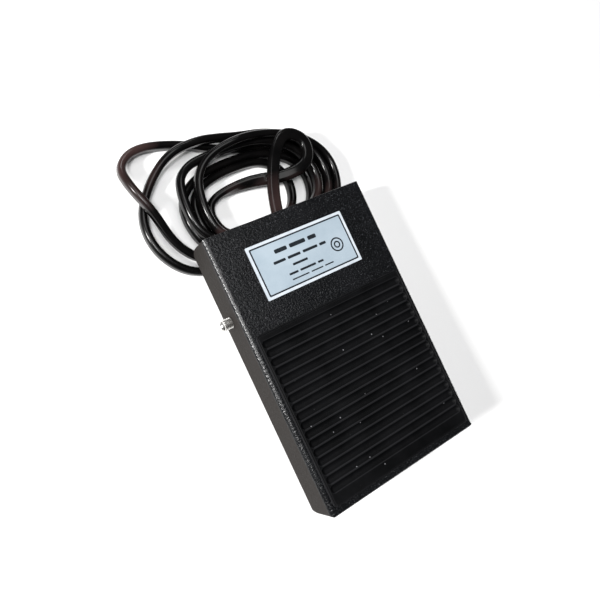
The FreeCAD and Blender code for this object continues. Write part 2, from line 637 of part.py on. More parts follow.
# ---------------------------------------------------------------- micro switch
def make_switch():
    half = "case_width / 2"
    blank = box("CaseBlank", "case_width - cover_sheet", "case_length", "case_height",
                (f"-{half}", "-case_front", "case_bottom"))
    chamber = box("Chamber", "case_width - cover_sheet - case_wall", "case_length - 2 * case_wall",
                  "case_bottom + case_height - case_wall - chamber_bottom",
                  (f"-{half} + case_wall", "-case_front + case_wall", "chamber_bottom"))
    guide = cylinder("PlungerGuide", "plunger_radius + 0.05", "case_height",
                     ("0", "-plunger_y", "case_bottom + case_height - 3 * case_wall"))
    terminals = make_terminals()
    ears = [box(f"LeverEar{i}", "ear_width", "ear_length", "ear_height",
                (x, "-lever_y - ear_length / 2", "case_bottom + case_height"))
            for i, x in enumerate(("-lever_width / 2 - 0.35 - ear_width", "lever_width / 2 + 0.1"))]
    case = cut("SwitchCase", fuse("CaseWithEar", blank, ears[0]), chamber, guide,
               *switch_holes("Case"), lever_pin_hole("Case"), *terminals)
    node(case, "switch_case")
    cover = box("CoverPlate", "cover_sheet", "case_length", "case_height",
                (f"{half} - cover_sheet", "-case_front", "case_bottom"))
    node(cut("SwitchCover", fuse("CoverWithEar", cover, ears[1]), *switch_holes("Cover"),
             lever_pin_hole("Cover")), "switch_cover")
    node(cylinder("Plunger", "plunger_radius", "plunger_top - plunger_bottom",
                  ("0", "-plunger_y", "plunger_bottom")), "switch_plunger")
    make_lever()
    make_blade()
    bracket_plate = box("BracketPlate", "bracket_sheet", "case_length",
                        "switch_hole_z + bracket_rise - tray_bottom - tray_sheet",
                        (half, "-case_front", "tray_bottom + tray_sheet"))
    foot = box("BracketFoot", "bracket_foot", "case_length", "bracket_sheet",
               (half, "-case_front", "tray_bottom + tray_sheet"))
    bends = rounded("BracketBend", fuse("BracketBlank", bracket_plate, foot), dim("bracket_sheet") * 0.8,
                    lambda e: along(e, 1) and abs(middle(e).x - dim("case_width") / 2) < 1e-6
                    and middle(e).z < dim("case_bottom"))
    foot_holes = [cylinder(f"BracketFootHole{i}", "bracket_screw", "8", ("bracket_screw_x", y, "0"))
                  for i, y in enumerate(bracket_screw_rows())]
    node(cut("SwitchBracket", bends, *switch_holes("Bracket"), *foot_holes), "switch_bracket")
    make_switch_fasteners()


def switch_holes(name):
    return [cylinder(f"{name}Hole{i}", "switch_hole", "case_width * 4",
                     ("-case_width * 2", y, "switch_hole_z"), "X")
            for i, y in enumerate(("-switch_hole_front", "-switch_hole_rear"))]


def lever_pin_hole(name):
    return cylinder(f"{name}PinHole", "pin_radius", "case_width * 3",
                    ("-case_width", "-lever_y", "lever_z"), "X")


def make_terminals():
    """Common, normally open and normally closed blades, each a strip that ends in the chamber."""
    thick, wide, low = "terminal_sheet", "terminal_width", "terminal_bottom"
    x = f"-{thick} / 2"
    com = fuse("TerminalCom",
               box("ComStrip", thick, wide, f"blade_z - {low} - rest_radius",
                   (x, f"-com_y - {wide} / 2", low)),
               cylinder("ComRest", "rest_radius", "blade_width",
                        ("-blade_width / 2", "-com_y", "blade_z - rest_radius * 1.5"), "X"))
    no = fuse("TerminalNo",
              box("NoStrip", thick, wide, f"chamber_bottom + arm_sheet - {low}",
                  (x, f"-no_y - {wide} / 2", low)),
              box("NoArm", thick, f"no_y + {wide} / 2 - contact_y + contact_radius", "arm_sheet",
                  (x, f"-no_y - {wide} / 2", "chamber_bottom")),
              cylinder("NoContact", "contact_radius", "contact_height",
                       ("0", "-contact_y", "chamber_bottom")))
    nc = fuse("TerminalNc",
              box("NcStrip", thick, "nc_strip", f"nc_arm_z + arm_sheet - {low}",
                  (x, "-nc_y - nc_strip / 2", low)),
              box("NcBlade", thick, wide, f"case_bottom - {low} - 0.2", (x, f"-nc_y - {wide} / 2", low)),
              box("NcArm", thick, "contact_y + contact_radius - nc_y + nc_strip / 2", "arm_sheet",
                  (x, "-contact_y - contact_radius", "nc_arm_z")),
              cylinder("NcContact", "contact_radius", "arm_sheet",
                       ("0", "-contact_y", "nc_arm_z - arm_sheet + 0.1")))
    for obj, label, y in ((com, "terminal_com", "-com_y"), (no, "terminal_no", "-no_y"),
                          (nc, "terminal_nc", "-nc_y")):
        eye = cylinder(f"{obj.Name}Eye", "eye_radius", "terminal_sheet * 6",
                       ("-terminal_sheet * 3", y, "terminal_bottom + eye_rise"), "X")
        node(cut(f"{obj.Name}Drilled", obj, eye), label)
    return [com, no, nc]


def make_lever():
    """Steel lever on its pin at the switch's front: a strip with two side cheeks."""
    width, thick = "lever_width", "lever_sheet"
    strip = box("LeverStrip", width, "lever_length - lever_start", thick,
                (f"-{width} / 2", "lever_start", f"-{thick} / 2"))
    toe = cylinder("LeverToe", "toe_radius", width, (f"-{width} / 2", "lever_length", "0.05"), "X")
    cheeks = [box(f"LeverCheek{i}", thick, "cheek_length", "cheek_height", (x, "-0.6", "-0.4"))
              for i, x in enumerate((f"-{width} / 2", f"{width} / 2 - {thick}"))]
    bore = cylinder("LeverBore", "pin_radius + pin_clearance", "case_width * 3",
                    ("-case_width", "0", "0"), "X")
    lever = cut("Lever", fuse("LeverBlank", strip, toe, *cheeks), bore)
    lever.Placement = FreeCAD.Placement(FreeCAD.Vector(), FreeCAD.Rotation(FreeCAD.Vector(1, 0, 0), 1))
    bind(lever, "Placement.Rotation.Angle", "lever_angle")
    bind(lever, "Placement.Base.y", "-lever_y")
    bind(lever, "Placement.Base.z", "lever_z")
    node(lever, "switch_lever")
    node(cylinder("LeverPin", "pin_radius", "case_width - 0.3",
                  ("-case_width / 2 + 0.15", "-lever_y", "lever_z"), "X"), "lever_pin")


def make_blade():
    """Snap blade: hinged at the common terminal, its contact rivet between the two fixed contacts."""
    strip = box("BladeStrip", "blade_width", "com_y - contact_y + contact_radius", "blade_sheet",
                ("-blade_width / 2", "-com_y", "blade_z"))
    rivet = cylinder("BladeRivet", "contact_radius", "blade_sheet * 5",
                     ("0", "-contact_y", "blade_z - blade_sheet * 2"))
    node(fuse("Blade", strip, rivet), "contact_blade")


def make_switch_fasteners():
    screws, nuts = [], []
    for i, y in enumerate(("-switch_hole_front", "-switch_hole_rear")):
        shank = cylinder(f"SwitchShank{i}", "small_screw", "case_width + bracket_sheet + small_nut + 0.6",
                         ("-case_width / 2 - 0.2", y, "switch_hole_z"), "X")
        head = cylinder(f"SwitchHead{i}", "small_screw * 1.9", "small_head",
                        ("-case_width / 2 - small_head", y, "switch_hole_z"), "X")
        slot_cut = box(f"SwitchSlot{i}", "small_slot", "small_screw * 4", "small_slot",
                       ("-case_width / 2 - small_head", f"{y} - small_screw * 2",
                        "switch_hole_z - small_slot / 2"))
        screws.append(cut(f"SwitchScrew{i}", fuse(f"SwitchScrewBlank{i}", head, shank), slot_cut))
        hexagon = doc.addObject("Part::Prism", f"SwitchNutHexagon{i}")
        place(hexagon, ("case_width / 2 + bracket_sheet", y, "switch_hole_z"), "X")
        hexagon.Polygon = 6
        bind(hexagon, "Circumradius", "small_screw * 2.2")
        bind(hexagon, "Height", "small_nut")
        bore = cylinder(f"SwitchNutBore{i}", "small_screw", "case_width * 3", ("0", y, "switch_hole_z"), "X")
        nuts.append(cut(f"SwitchNut{i}", hexagon, bore))
    node(group("SwitchScrews", screws), "switch_screws")
    node(group("SwitchNuts", nuts), "switch_nuts")
    rivets = []
    for i, y in enumerate(bracket_screw_rows()):
        low, top = "tray_bottom", "tray_bottom + tray_sheet + bracket_sheet"
        shank = cylinder(f"BracketShank{i}", "bracket_screw", f"{top} - {low} + 0.2",
                         ("bracket_screw_x", y, low))
        head = cylinder(f"BracketHead{i}", "bracket_screw * 1.8", "bracket_head", ("bracket_screw_x", y, top))
        crown = rounded(f"BracketCrown{i}", head, dim("bracket_head") * 0.66,
                        lambda e: abs(middle(e).z - number(f"{top} + bracket_head")) < 1e-6)
        rivets.append(fuse(f"BracketRivet{i}", crown, shank))
    node(group("BracketRivets", rivets), "bracket_rivets")


# ---------------------------------------------------------------- cord, wires and gland
def tube_path(points, name):
    """Straight runs joined by tangent arcs, each arc as large as its two runs allow."""
    points = [FreeCAD.Vector(*p) for p in points]
    edges, radii, last = [], [], points[0]
    for before, corner, after in zip(points, points[1:], points[2:]):
        back, ahead = (before - corner), (after - corner)
        reach = 0.45 * min(back.Length, ahead.Length)
        turn = math.pi - back.getAngle(ahead)
        radius = reach / math.tan(turn / 2)
        radii.append(round(radius, 1))
        back.normalize()
        ahead.normalize()
        start, end = corner + back * reach, corner + ahead * reach
        inward = back + ahead
        inward.normalize()
        top = corner + inward * (radius / math.cos(turn / 2) - radius)
        edges.append(Part.LineSegment(last, start).toShape())
        edges.append(Part.Arc(start, top, end).toShape())
        last = end
    edges.append(Part.LineSegment(last, points[-1]).toShape())
    print(f"{name}: radii {radii}")
    return Part.Wire(edges)


def tube(name, points, radius):
    path = tube_path(points, name)
    start, heading = FreeCAD.Vector(*points[0]), FreeCAD.Vector(*points[1]) - FreeCAD.Vector(*points[0])
    ring = Part.Wire(Part.Circle(start, heading, radius).toShape())
    shape = path.makePipeShell([ring], True, False)
    expected = math.pi * radius ** 2 * path.Length
    print(f"{name}: length {path.Length:.1f}, volume {shape.Volume:.1f}, section times length {expected:.1f}")
    if abs(shape.Volume - expected) > 0.02 * expected:
        raise RuntimeError(f"{name} has the wrong volume")
    return shape


# Routes of the free cord, from the gland to its far end, in millimetres.
LEAD = [(0, 50.5, 13.6), (1.4, 57.2, 13.5), (5, 65.8, 13.3), (9.6, 74.6, 13.1), (17.2, 82.6, 12.9),
        (25, 77, 12.7), (22.4, 67.4, 12.5), (11.6, 65, 11.2), (0.4, 67.6, 7), (-9, 68.2, 3.6),
        (-16.6, 66.8, 2.4)]
LOOP_A = [(-7.4, 84.2, 2.4), (-20.4, 90, 2.4), (-36.4, 93, 3), (-45.4, 87.7, 5), (-45, 79.2, 7.7),
          (-41, 68.7, 7.7), (-38, 57.2, 4), (-32.4, 49.3, 2.5), (-25.9, 46.1, 3), (-18.4, 45.8, 5)]
LOOP_B = [(-3.4, 85.8, 7.3), (-15, 88, 7.4), (-27.2, 86.6, 7), (-37, 79.4, 3.6), (-44.8, 68.7, 2.4),
          (-44.6, 55.7, 2.4), (-36.9, 44.7, 2.4), (-24.4, 41.3, 2.4), (-10, 42.2, 2.4)]
TAIL = [(13.4, 41.5, 2.4), (24, 41.2, 2.4), (34.5, 38.5, 2.4), (41, 30, 2.4), (42.2, 17, 2.4),
        (40.6, 4, 2.4), (41.4, -8, 2.4)]


def make_cord():
    radius = dim("cord_radius")
    node(solid("Lead", tube("cord_lead", LEAD, radius)), "cord_lead")
    node(solid("LoopA", tube("cord_loop_a", LOOP_A, radius)), "cord_loop_a")
    node(solid("LoopB", tube("cord_loop_b", LOOP_B, radius)), "cord_loop_b")
    node(solid("Tail", tube("cord_tail", TAIL, radius)), "cord_tail")
    outside = oval("coil_x", "coil_y", "coil_half_width", "coil_half_depth")
    inside = oval("hole_x", "hole_y", "hole_half_width", "hole_half_depth")
    node(solid("Coil", outside.cut(inside)), "cord_coil")
    make_tail_end()
    make_gland()


def oval(x, y, half_width, half_depth):
    curve = Part.Ellipse(FreeCAD.Vector(dim(x), dim(y), 0), dim(half_width), dim(half_depth))
    return Part.Face(Part.Wire(curve.toShape())).extrude(FreeCAD.Vector(0, 0, dim("coil_height")))


def make_tail_end():
    """The cord's far end: the sheath stops, and its two cores run on to bare tinned tips."""
    x, y, z = TAIL[-1]
    radius, cores, tips = dim("core_radius"), [], []
    for i, side in enumerate((-1, 1)):
        route = [(x + side * 0.9, y, z - 0.7), (x + side * 1.5, y - 8, 1.3),
                 (x + side * 3.4, y - 15.5, 0.9), (x + side * 3.8, y - 23, 0.9)]
        cores.append(tube(f"tail core {i}", route, radius))
        end = [FreeCAD.Vector(*p) for p in route[-2:]]
        heading = (end[1] - end[0]).normalize()
        tips.append(Part.makeCylinder(dim("tip_radius"), dim("tip_length"), end[1], heading))
    node(solid("TailCores", Part.makeCompound(cores)), "tail_cores")
    node(solid("TailTips", Part.makeCompound(tips)), "tail_tips")


def make_gland():
    """Rubber grommet in the tray's rear wall, with a tapered boot that is wider than it is high."""
    z, bore = "exit_z", "cord_radius - 0.02"
    inner = cylinder("GlandInner", "gland_radius", "gland_lip",
                     ("0", "tray_rear - tray_sheet - gland_lip", z), "Y")
    neck = cylinder("GlandNeck", "gland_neck", "tray_sheet", ("0", "tray_rear - tray_sheet", z), "Y")
    outer = rounded("GlandOuterRim",
                    cylinder("GlandOuter", "gland_radius", "gland_rim", ("0", "tray_rear", z), "Y"),
                    dim("gland_rim") / 2, lambda e: abs(middle(e).y - number("tray_rear + gland_rim")) < 1e-6)
    boot = cone("Boot", "boot_root", "boot_tip", "boot_length", ("0", "tray_rear + gland_rim", z), "Y")
    hole = cylinder("GlandBore", bore, "boot_length * 2", ("0", "tray_rear - 6", z), "Y")
    node(cut("Gland", fuse("GlandBlank", inner, neck, outer, boot), hole), "cord_gland")
    sheath = cylinder("InnerSheath", "cord_radius", f"{LEAD[0][1]} - tray_rear + inner_reach",
                      ("0", "tray_rear - inner_reach", z), "Y")
    node(sheath, "cord_inner")
    band = cylinder("TieBand", "cord_radius + tie_band", "tie_width", ("0", "tray_rear - 6", z), "Y")
    lock = box("TieLock", "tie_lock", "tie_lock", "tie_lock",
               ("-tie_lock / 2", "tray_rear - 6.3", "exit_z + cord_radius + 0.3"))
    core = cylinder("TieBore", bore, "tie_lock * 3", ("0", "tray_rear - 9", z), "Y")
    node(cut("CordTie", fuse("TieBlank", band, lock), core), "cord_tie")
    start = dim("tray_rear") - dim("inner_reach")
    com = [(-0.95, start, 13.6), (-2.6, start - 4.4, 8.4), (-7.6, start - 12.5, 5.4), (-12, start - 22, 4.9),
           (-12, start - 38, 4.9), (-11.4, start - 52, 5.2), (-8, start - 61, 5.8), (-0.25, -34.2, 5.8)]
    no = [(0.95, start, 13.6), (-0.6, start - 4.6, 8.2), (-4.8, start - 13, 5.2), (-9.3, start - 23, 4.8),
          (-9.3, start - 37, 4.8), (-8.4, start - 47, 5.2), (-5, start - 53.5, 5.8), (-0.25, -26.1, 5.8)]
    radius = dim("core_radius")
    for name, route in (("wire_com", com), ("wire_no", no)):
        node(solid(name.title().replace("_", ""), tube(name, route, radius)), name)


# ---------------------------------------------------------------- write the parts
def write_parts():
    doc.recompute()
    for obj in doc.Objects:
        if {"Invalid", "Error"} & set(obj.State):
            raise RuntimeError(f"{obj.Name} ({obj.Label}) failed: {obj.State}")
    os.makedirs("parts", exist_ok=True)
    for obj in PARTS:
        if obj.Shape.isNull() or not obj.Shape.isValid() or not obj.Shape.Solids:
            raise RuntimeError(f"{obj.Label} has no valid solid")
        for piece in obj.Shape.Solids:
            if piece.Volume <= 0:
                raise RuntimeError(f"{obj.Label} is inside out")
        obj.Shape.exportStep(f"parts/{obj.Label}.step")
    print(f"{len(PARTS)} nodes written")


make_treadle()
make_tread_pad()
make_label()
make_striker()
make_tray()
make_feet()
make_clinch_nuts()
make_bumpers()
make_pivot()
make_spring()
make_switch()
make_cord()
write_parts()
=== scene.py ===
import json
import math

import bmesh
import bpy
import numpy as np
from mathutils import Matrix, Vector


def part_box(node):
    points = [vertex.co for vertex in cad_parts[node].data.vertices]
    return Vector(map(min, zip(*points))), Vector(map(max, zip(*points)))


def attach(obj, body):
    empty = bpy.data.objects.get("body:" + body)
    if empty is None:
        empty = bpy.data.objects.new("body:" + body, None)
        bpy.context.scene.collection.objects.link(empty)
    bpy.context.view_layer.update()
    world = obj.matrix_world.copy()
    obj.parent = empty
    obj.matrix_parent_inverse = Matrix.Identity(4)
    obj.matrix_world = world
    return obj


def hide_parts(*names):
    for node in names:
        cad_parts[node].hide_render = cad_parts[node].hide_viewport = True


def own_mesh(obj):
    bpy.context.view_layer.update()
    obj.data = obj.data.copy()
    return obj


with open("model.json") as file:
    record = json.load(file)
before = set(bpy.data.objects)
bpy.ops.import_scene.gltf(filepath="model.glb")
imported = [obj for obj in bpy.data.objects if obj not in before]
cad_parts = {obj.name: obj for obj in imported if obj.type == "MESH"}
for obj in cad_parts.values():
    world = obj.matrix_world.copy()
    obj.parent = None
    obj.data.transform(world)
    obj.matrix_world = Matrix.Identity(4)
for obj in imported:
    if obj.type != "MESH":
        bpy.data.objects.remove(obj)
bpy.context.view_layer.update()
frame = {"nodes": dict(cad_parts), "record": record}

MM = 0.001
NODES = frame["nodes"]
TREADLE_TILT = math.radians(3.5)
PIVOT_BACK, PIVOT_DROP = 22.7 * MM, 8.2 * MM


def plate_frame():
    """The treadle's own frame: origin in the middle of its top face, +Z out of the top face."""
    pivot = Vector(next(j["pos_m"] for j in frame["record"]["behaviour"]["joints"]
                        if j["name"] == "treadle_press"))
    turn = Matrix.Rotation(-TREADLE_TILT, 4, "X")
    middle = pivot - turn @ Vector((0, PIVOT_BACK, -PIVOT_DROP))
    return Matrix.Translation(middle) @ turn


ON_PLATE = plate_frame()


# ---------------------------------------------------------------- camera, light and floor
def make_camera():
    data = bpy.data.cameras.new("photo_camera")
    data.lens = 37.34
    data.sensor_width = 36
    data.clip_start = 0.01
    data.clip_end = 20
    camera = bpy.data.objects.new("photo_camera", data)
    right = Vector((0.81250, -0.40102, 0.42312)).normalized()
    ahead = Vector((0.44184, -0.04986, -0.89571))
    ahead = (ahead - ahead.dot(right) * right).normalized()
    turn = Matrix((right, right.cross(ahead), -ahead)).transposed()
    camera.matrix_world = Matrix.Translation((-0.106857, 0.030918, 0.219081)) @ turn.to_4x4()
    bpy.context.scene.collection.objects.link(camera)
    bpy.context.scene.camera = camera


def area_light(name, at, target, size, power, colour=(1, 1, 1)):
    data = bpy.data.lights.new(name, "AREA")
    data.shape = "RECTANGLE"
    data.size, data.size_y = size
    data.energy = power
    data.color = colour
    light = bpy.data.objects.new(name, data)
    light.location = at
    light.rotation_euler = (Vector(target) - Vector(at)).to_track_quat("-Z", "Y").to_euler()
    bpy.context.scene.collection.objects.link(light)


def make_studio():
    world = bpy.data.worlds.new("studio")
    bpy.context.scene.world = world
    world.use_nodes = True
    background = world.node_tree.nodes["Background"]
    background.inputs["Color"].default_value = (0.97, 0.98, 1, 1)
    background.inputs["Strength"].default_value = 0.10
    area_light("overhead", (-0.08, 0.22, 0.80), (0.02, 0, 0), (0.45, 0.45), 3.1)
    area_light("left_side", (-0.60, 0.12, 0.42), (0, 0, 0), (0.06, 0.13), 7.5, (1, 0.99, 0.98))
    area_light("upper_left", (-0.30, 0.04, 0.62), (0, 0, 0), (0.12, 0.12), 2.2)
    area_light("behind", (0.1, 0.85, 0.5), (0, 0.05, 0), (0.4, 0.08), 2)
    bpy.context.scene.view_settings.view_transform = "Standard"
    floor = bpy.data.meshes.new("floor")
    reach = 3
    corners = [(-reach, -reach, 0), (reach, -reach, 0), (reach, reach, 0), (-reach, reach, 0)]
    floor.from_pydata(corners, [], [(0, 1, 2, 3)])
    floor_object = bpy.data.objects.new("floor", floor)
    bpy.context.scene.collection.objects.link(floor_object)
    paint, bsdf = new_material("floor_paint", (0.9, 0.9, 0.9), 0.6)
    floor.materials.append(paint)


# ---------------------------------------------------------------- materials
def new_material(name, colour, roughness, metallic=0.0):
    material = bpy.data.materials.new(name)
    material.use_nodes = True
    bsdf = material.node_tree.nodes["Principled BSDF"]
    bsdf.inputs["Base Color"].default_value = (*colour, 1)
    bsdf.inputs["Roughness"].default_value = roughness
    bsdf.inputs["Metallic"].default_value = metallic
    return material, bsdf


def add_node(material, kind, **settings):
    node = material.node_tree.nodes.new(kind)
    for key, value in settings.items():
        if key in node.inputs:
            node.inputs[key].default_value = value
        else:
            setattr(node, key, value)
    return node


def finish_surface(material, bsdf, dark, light, rough, scale, bump, fine=None):
    """Vary the colour and roughness with noise at one scale, and add bump with noise at a finer one.

    Returns the node that gives the object's own coordinates.
    """
    links = material.node_tree.links
    where = add_node(material, "ShaderNodeTexCoord")
    patch = add_node(material, "ShaderNodeTexNoise", Scale=scale, Detail=6.0, Roughness=0.6)
    links.new(where.outputs["Object"], patch.inputs["Vector"])
    tones = add_node(material, "ShaderNodeValToRGB")
    tones.color_ramp.elements[0].position = 0.35
    tones.color_ramp.elements[1].position = 0.68
    tones.color_ramp.elements[0].color = (*dark, 1)
    tones.color_ramp.elements[1].color = (*light, 1)
    links.new(patch.outputs["Fac"], tones.inputs["Fac"])
    links.new(tones.outputs["Color"], bsdf.inputs["Base Color"])
    gloss = add_node(material, "ShaderNodeMapRange")
    gloss.inputs["To Min"].default_value = rough[0]
    gloss.inputs["To Max"].default_value = rough[1]
    links.new(patch.outputs["Fac"], gloss.inputs["Value"])
    links.new(gloss.outputs["Result"], bsdf.inputs["Roughness"])
    grain = add_node(material, "ShaderNodeTexNoise", Scale=fine or scale * 4, Detail=3.0, Roughness=0.5)
    links.new(where.outputs["Object"], grain.inputs["Vector"])
    relief = add_node(material, "ShaderNodeBump", Strength=bump[0], Distance=bump[1])
    links.new(grain.outputs["Fac"], relief.inputs["Height"])
    links.new(relief.outputs["Normal"], bsdf.inputs["Normal"])
    return where


def paint_nodes(material, *names):
    for name in names:
        mesh = NODES[name].data
        mesh.materials.clear()
        mesh.materials.append(material)


def simple_material(name, dark, light, rough, scale=900, bump=(0.3, 0.00002), metallic=0.0):
    material, bsdf = new_material(name, dark, rough[0], metallic)
    finish_surface(material, bsdf, dark, light, rough, scale, bump)
    return material


def ramp(material, source, stops):
    """Colours at these positions of a 0 to 1 source, blended between them."""
    node = add_node(material, "ShaderNodeValToRGB")
    marks = node.color_ramp.elements
    while len(marks) < len(stops):
        marks.new(0.5)
    for mark, (position, colour) in zip(marks, stops):
        mark.position = position
        mark.color = (*colour, 1)
    material.node_tree.links.new(source, node.inputs["Fac"])
    return node.outputs["Color"]


def mix_colour(material, share, first, second):
    """Blend two colours, each given as a tuple or a socket. The mix node shares its sockets between kinds of
    data: its colours go in at 6 and 7 and come out at 2."""
    node = add_node(material, "ShaderNodeMix", data_type="RGBA")
    links = material.node_tree.links
    links.new(share, node.inputs[0])
    for socket, source in ((6, first), (7, second)):
        if isinstance(source, tuple):
            node.inputs[socket].default_value = (*source, 1)
        else:
            links.new(source, node.inputs[socket])
    return node.outputs[2]


def powder_coat():
    """Black powder coat: orange-peel grain, sparse light specks, and a brownish tint on upright faces that is
    a painted reflection of warm surroundings.
    """
    material, bsdf = new_material("powder_coat", (0.01, 0.01, 0.012), 0.4)
    links = material.node_tree.links
    where = finish_surface(material, bsdf, (0.0016, 0.0018, 0.0022), (0.0036, 0.0040, 0.0047),
                           (0.20, 0.28), 60, (0.9, 0.00018), fine=1250)
    specks = add_node(material, "ShaderNodeTexNoise", Scale=2600, Detail=2.0, Roughness=0.7)
    links.new(where.outputs["Object"], specks.inputs["Vector"])
    dots = ramp(material, specks.outputs["Fac"], [(0.58, (0, 0, 0)), (0.72, (1, 1, 1))])
    tones = bsdf.inputs["Base Color"].links[0].from_socket
    speckled = mix_colour(material, dots, tones, (0.050, 0.052, 0.056))
    facing = add_node(material, "ShaderNodeNewGeometry")
    parts = add_node(material, "ShaderNodeSeparateXYZ")
    links.new(facing.outputs["Normal"], parts.inputs["Vector"])
    upright = ramp(material, parts.outputs["Z"], [(0.05, (1, 1, 1)), (0.45, (0, 0, 0))])
    # Painted reflection: upright faces get a brown tint for the warm surroundings they reflect.
    painted_flange_reflection = mix_colour(material, upright, speckled, (0.0115, 0.0092, 0.0078))
    links.new(painted_flange_reflection, bsdf.inputs["Base Color"])
    dull = add_node(material, "ShaderNodeMix")
    links.new(upright, dull.inputs["Factor"])
    links.new(bsdf.inputs["Roughness"].links[0].from_socket, dull.inputs["A"])
    dull.inputs["B"].default_value = 0.9
    links.new(dull.outputs["Result"], bsdf.inputs["Roughness"])
    bsdf.inputs["Specular IOR Level"].default_value = 0.3
    return material


def tread_rubber():
    """Moulded black rubber, greyer along the ribs' crests as a painted highlight and wear, with a few pale
    specks of lint.
    """
    material, bsdf = new_material("tread_rubber", (0.006, 0.006, 0.007), 0.5)
    links = material.node_tree.links
    where = finish_surface(material, bsdf, (0.0011, 0.0012, 0.0014), (0.0032, 0.0033, 0.0038),
                           (0.42, 0.62), 90, (0.3, 0.00002), fine=1500)
    lint = add_node(material, "ShaderNodeTexVoronoi", Scale=210, Randomness=1.0)
    links.new(where.outputs["Object"], lint.inputs["Vector"])
    near = ramp(material, lint.outputs["Distance"], [(0.03, (1, 1, 1)), (0.06, (0, 0, 0))])
    tones = bsdf.inputs["Base Color"].links[0].from_socket
    shape = add_node(material, "ShaderNodeNewGeometry")
    # Painted highlight and wear: convex crests are drawn lighter grey.
    crests = ramp(material, shape.outputs["Pointiness"], [(0.515, (0, 0, 0)), (0.56, (1, 1, 1))])
    crest_highlight_and_wear = mix_colour(material, crests, tones, (0.020, 0.020, 0.022))
    links.new(mix_colour(material, near, crest_highlight_and_wear, (0.16, 0.16, 0.17)), bsdf.inputs["Base Color"])
    bsdf.inputs["Specular IOR Level"].default_value = 0.07
    return material


def paint_cad_nodes():
    coat = powder_coat()
    paint_nodes(coat, "treadle", "base_tray")
    rubber = simple_material("rubber", (0.005, 0.005, 0.006), (0.015, 0.015, 0.017), (0.55, 0.8))
    paint_nodes(rubber, "tread_pad", "rubber_feet", "front_bumper", "rear_bumpers", "cord_gland")
    zinc = simple_material("zinc", (0.52, 0.51, 0.49), (0.78, 0.78, 0.76), (0.2, 0.36), scale=500,
                           bump=(0.12, 0.00001), metallic=1.0)
    paint_nodes(zinc, "pivot_screw", "head_washer", "pivot_nut", "clinch_nuts", "switch_screws",
                "switch_nuts", "bracket_rivets", "foot_rivets", "switch_bracket", "pivot_sleeve",
                "lever_pin", "switch_lever", "return_spring", "tail_tips")
    nylon = simple_material("nylon", (0.55, 0.54, 0.49), (0.68, 0.67, 0.62), (0.4, 0.55))
    paint_nodes(nylon, "pivot_bushes", "spring_seat_lower", "spring_seat_upper", "striker", "cord_tie")
    plastic = simple_material("switch_plastic", (0.010, 0.010, 0.012), (0.02, 0.02, 0.022), (0.35, 0.5))
    paint_nodes(plastic, "switch_case", "switch_cover")
    red = simple_material("plunger_red", (0.35, 0.03, 0.02), (0.45, 0.05, 0.03), (0.3, 0.45))
    paint_nodes(red, "switch_plunger")
    brass = simple_material("brass", (0.55, 0.38, 0.14), (0.72, 0.55, 0.26), (0.2, 0.4), metallic=1.0)
    paint_nodes(brass, "terminal_com", "terminal_no", "terminal_nc", "contact_blade")
    wire = simple_material("core_plastic", (0.012, 0.008, 0.008), (0.03, 0.018, 0.018), (0.3, 0.45))
    paint_nodes(wire, "wire_com", "wire_no", "tail_cores", "cord_inner")
    border = simple_material("label_border", (0.40, 0.44, 0.48), (0.50, 0.54, 0.58), (0.3, 0.45), scale=250,
                             bump=(0.1, 0.00001))
    paint_nodes(border, "label_plate")


# ---------------------------------------------------------------- pieces on the treadle
def closed_mesh(name, verts, faces, smooth):
    """An object from these faces, all facing out; smooth(face) says which are shaded smooth."""
    mesh = bpy.data.meshes.new(name)
    mesh.from_pydata([tuple(v) for v in verts], [], faces)
    tidy = bmesh.new()
    tidy.from_mesh(mesh)
    bmesh.ops.recalc_face_normals(tidy, faces=tidy.faces)
    tidy.to_mesh(mesh)
    tidy.free()
    for face in mesh.polygons:
        face.use_smooth = smooth(face)
    piece = bpy.data.objects.new(name, mesh)
    bpy.context.scene.collection.objects.link(piece)
    return piece


def treadle_piece(name, verts, faces, material, slot, smooth=True):
    """A piece that rides on the treadle and takes the material given."""
    piece = closed_mesh(name, verts, faces, lambda face: smooth)
    piece.data.materials.append(material)
    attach(piece, "treadle")
    return piece


PAD_HALF, PAD_FRONT, PAD_REAR, PAD_TOP = 31.8 * MM, -48.8 * MM, 14.7 * MM, 1.1 * MM
RIB_PITCH, GROOVE_COUNT, GROOVE_FIRST = 3.35 * MM, 17, 10.9 * MM
GROOVE_HALF, GROOVE_REACH, GROOVE_DEEP = 1.42 * MM, 30.7 * MM, 0.85 * MM
PAD_RIM, PAD_CORNER = 0.35 * MM, 1.5 * MM
LINE_IN, LINE_HALF, LINE_DEEP = 0.62 * MM, 0.16 * MM, 0.18 * MM


def tread_height(x, y):
    """Height of the tread's face above the plate: scooped grooves, and a fine line inside the border."""
    row = round((GROOVE_FIRST - y) / RIB_PITCH)
    middle_y = GROOVE_FIRST - min(max(row, 0), GROOVE_COUNT - 1) * RIB_PITCH
    along = max(abs(x) - (GROOVE_REACH - GROOVE_HALF), 0)
    off = math.hypot(along, y - middle_y) / GROOVE_HALF
    scoop = GROOVE_DEEP * (1 - min(off, 1) ** 2) ** 0.75
    edge = min(PAD_HALF - abs(x), y - PAD_FRONT, PAD_REAR - y)
    line = max(1 - abs(edge - LINE_IN) / LINE_HALF, 0) * LINE_DEEP
    fall = max(1 - edge / PAD_RIM, 0)
    return PAD_TOP - scoop - line - PAD_RIM * (1 - math.sqrt(max(1 - fall * fall, 0)))


def spaced(marks):
    """Positions from each mark to the next at its own count of steps."""
    found = []
    for (start, steps), (end, _) in zip(marks, marks[1:]):
        found += [start + (end - start) * i / steps for i in range(steps)]
    return found + [marks[-1][0]]


